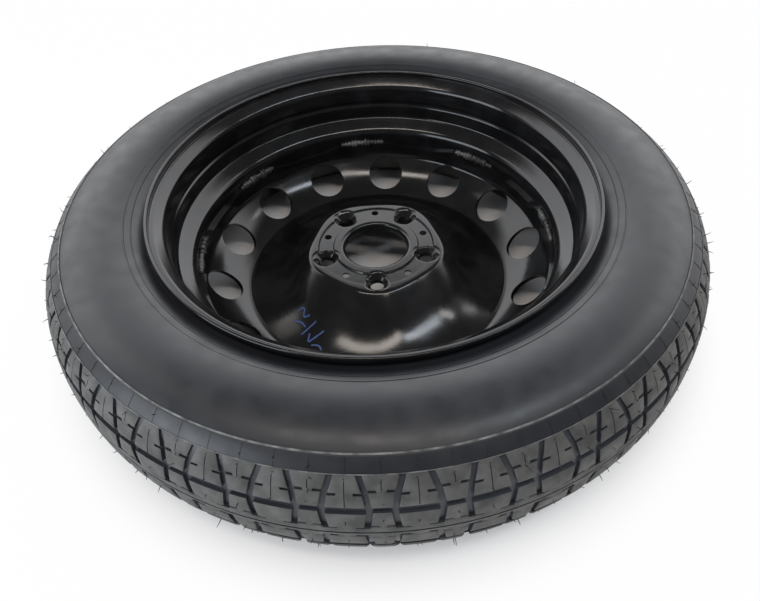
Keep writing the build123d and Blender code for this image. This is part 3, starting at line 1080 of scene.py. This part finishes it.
def floor():
    """A large pale floor, white around the wheel and clear from below, that takes the wheel's shadow."""
    bpy.ops.mesh.primitive_plane_add(size=FLOOR_SIZE, location=(0, 0, floor_z * MM))
    made = bpy.context.object
    made.name = "floor"
    material = bpy.data.materials.new("floor_white")
    material.use_nodes = True
    tree = material.node_tree
    nodes, links = tree.nodes, tree.links
    matte = nodes["Principled BSDF"]
    matte.inputs["Base Color"].default_value = FLOOR_COLOUR
    matte.inputs["Roughness"].default_value = FLOOR_ROUGHNESS
    matte.inputs["Specular IOR Level"].default_value = FLOOR_GLOSS
    reach = nodes.new("ShaderNodeVectorMath")
    reach.operation = "LENGTH"
    links.new(nodes.new("ShaderNodeTexCoord").outputs["Object"], reach.inputs[0])
    clear = map_range(tree, reach.outputs["Value"], SHADE_FROM, SHADE_TO, 0.0, FLOOR_WHITE, "SMOOTHSTEP")
    rays = nodes.new("ShaderNodeLightPath").outputs
    seen = combine(tree, "MAXIMUM", rays["Is Camera Ray"], rays["Is Glossy Ray"])
    seen = combine(tree, "MAXIMUM", seen, rays["Is Transmission Ray"])
    white = nodes.new("ShaderNodeMixShader")
    links.new(combine(tree, "MULTIPLY", seen, clear), white.inputs["Fac"])
    links.new(matte.outputs[0], white.inputs[1])
    links.new(nodes.new("ShaderNodeEmission").outputs[0], white.inputs[2])
    one_sided = nodes.new("ShaderNodeMixShader")
    links.new(nodes.new("ShaderNodeNewGeometry").outputs["Backfacing"], one_sided.inputs["Fac"])
    links.new(white.outputs[0], one_sided.inputs[1])
    links.new(nodes.new("ShaderNodeBsdfTransparent").outputs[0], one_sided.inputs[2])
    links.new(one_sided.outputs[0], nodes["Material Output"].inputs["Surface"])
    made.data.materials.append(material)


def soft_box(name, azimuth, elevation, width, height, radiance, tint=(1.0, 1.0, 1.0), roll=0.0):
    """A rectangular soft light of an even radiance, turned to the wheel."""
    around, lift = math.radians(azimuth), math.radians(elevation)
    away = Vector((math.cos(lift) * math.cos(around), math.cos(lift) * math.sin(around), math.sin(lift)))
    data = bpy.data.lights.new(name, "AREA")
    data.shape = "RECTANGLE"
    data.size, data.size_y = width, height
    data.energy = radiance * math.pi * width * height
    data.color = tint
    made = bpy.data.objects.new(name, data)
    made.location = away * LIGHT_DISTANCE
    turned = away.to_track_quat("Z", "Y") @ Quaternion((0.0, 0.0, 1.0), math.radians(roll))
    made.rotation_euler = turned.to_euler()
    made.visible_camera = False
    bpy.context.scene.collection.objects.link(made)


def surround(level, wrap):
    """A dim surround with a soft bright sweep behind the wheel, low enough to leave the zenith dark."""
    world = bpy.data.worlds.new("surround")
    bpy.context.scene.world = world
    world.use_nodes = True
    tree = world.node_tree
    nodes, links = tree.nodes, tree.links
    parts = nodes.new("ShaderNodeSeparateXYZ")
    links.new(nodes.new("ShaderNodeTexCoord").outputs["Generated"], parts.inputs[0])
    foot = [math.sin(math.radians(angle)) for angle in WRAP_FOOT]
    head = [math.sin(math.radians(angle)) for angle in WRAP_HEAD]
    rise = map_range(tree, parts.outputs["Z"], *foot, 0.0, wrap, "SMOOTHSTEP")
    fall = map_range(tree, parts.outputs["Z"], *head, 1.0, 0.0, "SMOOTHSTEP")
    back = map_range(tree, parts.outputs["Y"], *WRAP_SIDES, 0.0, 1.0, "SMOOTHSTEP")
    sweep = combine(tree, "MULTIPLY", combine(tree, "MULTIPLY", rise, fall), back)
    total = nodes.new("ShaderNodeMath")
    total.operation = "ADD"
    total.inputs[1].default_value = level
    links.new(sweep, total.inputs[0])
    links.new(total.outputs[0], nodes["Background"].inputs["Strength"])
    nodes["Background"].inputs["Color"].default_value = SURROUND_COLOUR


floor()
soft_box("front_box", -105.0, 69.5, 1.75, 0.24, 9.5, WARM)
soft_box("window_box", -28.0, 58.5, 0.95, 0.18, 12.0, COOL, -31.0)
soft_box("right_box", -5.0, 48.0, 0.3, 0.14, 9.0)
soft_box("right_back_box", 14.0, 42.0, 0.3, 0.14, 4.0)
soft_box("left_box", 212.0, 17.0, 1.6, 1.2, 4.6, COOL)
soft_box("glow_box", 163.0, 45.0, 0.5, 0.4, 1.2, WARM)
surround(0.15, 2.3)


def swung(first, second, angle):
    """Two crossed directions turned together in their own plane."""
    cos, sin = math.cos(angle), math.sin(angle)
    return first * cos + second * sin, second * cos - first * sin


def camera():
    """The camera at the photograph's view of the wheel."""
    lift, pan, tilt, roll = (math.radians(a) for a in (VIEW_ELEVATION, VIEW_PAN, VIEW_TILT, VIEW_ROLL))
    offset = Vector((0.0, -math.cos(lift), math.sin(lift))) * VIEW_DISTANCE
    ahead = -offset.normalized()
    right = Vector((1.0, 0.0, 0.0))
    up = right.cross(ahead)
    ahead, right = swung(ahead, right, pan)
    ahead, up = swung(ahead, up, tilt)
    right, up = swung(right, up, roll)
    data = bpy.data.cameras.new("camera")
    data.sensor_width = SENSOR_WIDTH
    data.lens = FOCAL_PIXELS / IMAGE_WIDTH * SENSOR_WIDTH
    made = bpy.data.objects.new("camera", data)
    place = Matrix.Translation((offset + Vector((0.0, 0.0, LIP_TOP_Z))) * MM)
    made.matrix_world = place @ Matrix((right, up, -ahead)).transposed().to_4x4()
    bpy.context.scene.collection.objects.link(made)
    bpy.context.scene.camera = made


camera()
bpy.context.scene.view_settings.view_transform = "Standard"
